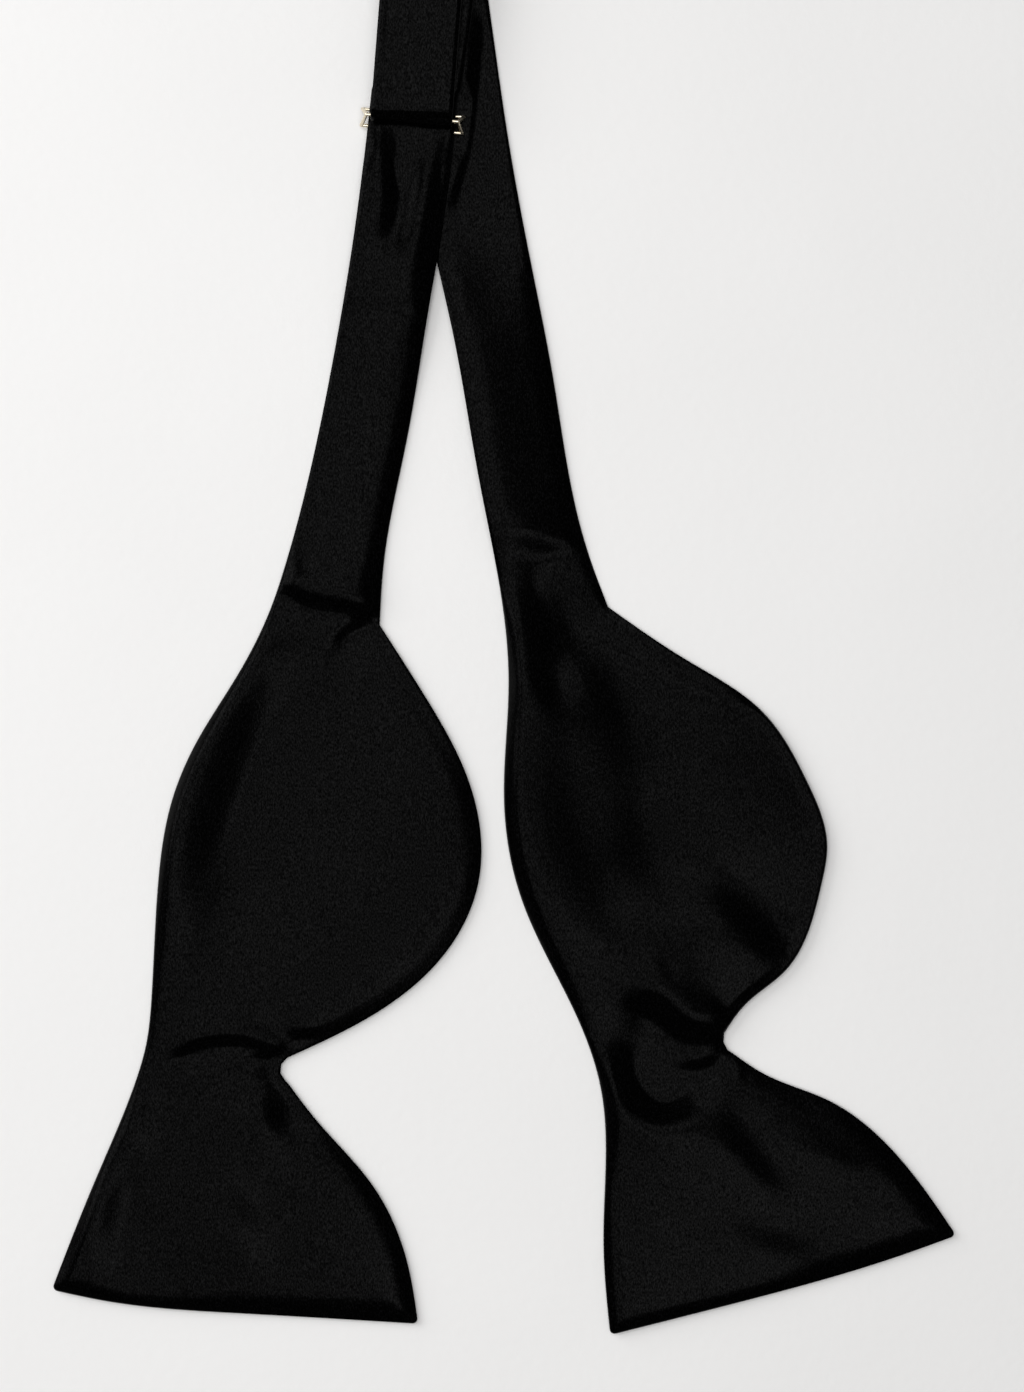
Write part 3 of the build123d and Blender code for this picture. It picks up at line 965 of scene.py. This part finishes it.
def make_satin():
    """Black satin: a dark dye, long floats of thread and a soft even sheen."""
    material, nodes, links, shader = new_material("black_satin")
    along = mapped(nodes, links, (1.0, 0.45, 1.0))
    weave = noise(nodes, links, along, 3700.0, 1.0)
    slub = noise(nodes, links, mapped(nodes, links, (1.0, 0.2, 1.0)), 900.0, 2.0)
    cloud = noise(nodes, links, mapped(nodes, links), 60.0, 3.0)
    thread = ramp(nodes, links, weave, 0.0, 1.0, 0.50, 0.80)
    colour = colour_ramp(nodes, links, thread, (0.0001, 0.0001, 0.0001), (0.0027, 0.0027, 0.0030))
    links.new(colour, shader.inputs["Base Color"])
    floats = ramp(nodes, links, weave, 0.0, 1.0, 0.27, 0.75)
    glint = colour_ramp(nodes, links, floats, (0.10, 0.10, 0.105), (1.0, 1.0, 1.0))
    links.new(glint, shader.inputs["Specular Tint"])
    links.new(ramp(nodes, links, cloud, 0.20, 0.25), shader.inputs["Roughness"])
    fine = bump(nodes, links, weave, 0.00004, 0.38)
    links.new(bump(nodes, links, slub, 0.00005, 0.3, fine), shader.inputs["Normal"])
    shader.inputs["Specular IOR Level"].default_value = 0.044
    return material


def make_interlining():
    """Off-white brushed interlining, inside the satin."""
    material, nodes, links, shader = new_material("interlining")
    felt = noise(nodes, links, mapped(nodes, links), 2200.0, 4.0)
    colour = colour_ramp(nodes, links, felt, (0.42, 0.40, 0.36), (0.66, 0.64, 0.58))
    links.new(colour, shader.inputs["Base Color"])
    links.new(bump(nodes, links, felt, 0.0001, 0.8), shader.inputs["Normal"])
    shader.inputs["Roughness"].default_value = 0.95
    return material


def make_thread():
    """Black spun polyester sewing thread."""
    material, nodes, links, shader = new_material("black_thread")
    twist = nodes.new("ShaderNodeTexWave")
    twist.inputs["Scale"].default_value = 900.0
    twist.bands_direction = "DIAGONAL"
    links.new(mapped(nodes, links), twist.inputs["Vector"])
    dark, light = (0.001, 0.001, 0.001), (0.006, 0.006, 0.007)
    colour = colour_ramp(nodes, links, twist.outputs["Fac"], dark, light)
    links.new(colour, shader.inputs["Base Color"])
    links.new(bump(nodes, links, twist.outputs["Fac"], 0.00005, 0.7), shader.inputs["Normal"])
    shader.inputs["Roughness"].default_value = 0.6
    return material


def make_nickel():
    """Drawn wire with a warm, slightly worn plating."""
    material, nodes, links, shader = new_material("nickel_wire")
    drawn = noise(nodes, links, mapped(nodes, links), 700.0, 3.0)
    wear = noise(nodes, links, mapped(nodes, links), 240.0, 4.0)
    colour = colour_ramp(nodes, links, wear, (0.70, 0.60, 0.42), (0.88, 0.82, 0.70))
    links.new(colour, shader.inputs["Base Color"])
    links.new(ramp(nodes, links, drawn, 0.20, 0.36), shader.inputs["Roughness"])
    links.new(bump(nodes, links, drawn, 0.00002, 0.4), shader.inputs["Normal"])
    shader.inputs["Metallic"].default_value = 1.0
    return material


def make_paper():
    """Off-white board with a faint tooth."""
    material, nodes, links, shader = new_material("pale_board")
    tooth = noise(nodes, links, mapped(nodes, links), 420.0, 3.0)
    broad = noise(nodes, links, mapped(nodes, links), 18.0, 2.0)
    colour = colour_ramp(nodes, links, broad, (0.795, 0.79, 0.785), (0.83, 0.825, 0.82))
    links.new(colour, shader.inputs["Base Color"])
    links.new(bump(nodes, links, tooth, 0.0006, 0.12), shader.inputs["Normal"])
    shader.inputs["Roughness"].default_value = 0.8
    shader.inputs["Specular IOR Level"].default_value = 0.2
    return material


# --- Setting ------------------------------------------------------------------------------------

FLOOR = 3.0                  # half the side of the board, in m


def make_floor():
    """The pale board that the tie lies on."""
    corners = [(-FLOOR, -FLOOR, 0), (FLOOR, -FLOOR, 0), (FLOOR, FLOOR, 0), (-FLOOR, FLOOR, 0)]
    obj = mesh_object("floor", corners, [(0, 1, 2, 3)])
    obj.data.materials.append(make_paper())


def make_light(name, place, size, power, target):
    """A rectangular lamp that faces a point."""
    data = bpy.data.lights.new(name, "AREA")
    data.shape = "RECTANGLE"
    data.size, data.size_y = size
    data.energy = power
    obj = bpy.data.objects.new(name, data)
    obj.location = place
    obj.rotation_euler = (Vector(target) - Vector(place)).to_track_quat("-Z", "Y").to_euler()
    bpy.context.scene.collection.objects.link(obj)


# The lit panels overhead: left, right, near and far edges in m, and watts to the square metre.
CEILING_Z = 1.2
CEILING = (
    ("panel_far_left", -0.95, -0.01, -0.12, 0.46, 7.8),
    ("panel_far_right", -0.01, 0.30, -0.04, 0.46, 8.8),
    ("panel_near_left", -0.68, -0.01, -0.68, -0.12, 6.4),
    ("panel_near_right", -0.01, 0.46, -0.68, -0.17, 10.8),
    ("panel_strip", -0.36, -0.01, 0.29, 0.60, 15.0),
)


def make_lights():
    """Soft panels overhead, and a window low on the left."""
    for name, left, right, near, far, strength in CEILING:
        x, y = (left + right) / 2, (near + far) / 2
        size = right - left, far - near
        make_light(name, (x, y, CEILING_Z), size, strength * size[0] * size[1], (x, y, 0.0))
    make_light("window", (-1.0, 0.45, 0.6), (1.1, 0.8), 10.6, (0.0, -0.05, 0.0))


def make_room():
    """Dim even light from all round, and plain tones in the picture."""
    world = bpy.data.worlds.new("room")
    world.use_nodes = True
    background = world.node_tree.nodes["Background"]
    background.inputs["Color"].default_value = (1.0, 0.99, 0.98, 1)
    background.inputs["Strength"].default_value = 0.17
    bpy.context.scene.world = world
    bpy.context.scene.view_settings.view_transform = "Standard"


def make_camera():
    """Looks straight down, from 0.75 m above the board."""
    data = bpy.data.cameras.new("camera")
    data.lens = 87.6
    data.clip_start = 0.01
    obj = bpy.data.objects.new("camera", data)
    obj.location = (0.00177, -0.0567, 0.75)
    bpy.context.scene.collection.objects.link(obj)
    bpy.context.scene.camera = obj


def main():
    satin = make_satin()
    materials = {"front": satin, "back": satin, "interlining": make_interlining()}
    thread = make_thread()
    make_left(materials)
    make_right(materials)
    hook_v = HOOK_BAR_V + HOOK_TURN - TACK_INSET
    make_tack("hook_stitches", "hook_tack", "hook_strap", hook_v, 3.1, 5.2, thread)
    make_tack("leaf_stitches", "leaf_tack", "slide", LEAF_TURN - TACK_INSET, 4.2, 5.2, thread)
    dress_hardware(make_nickel())
    make_floor()
    make_lights()
    make_room()
    make_camera()


main()
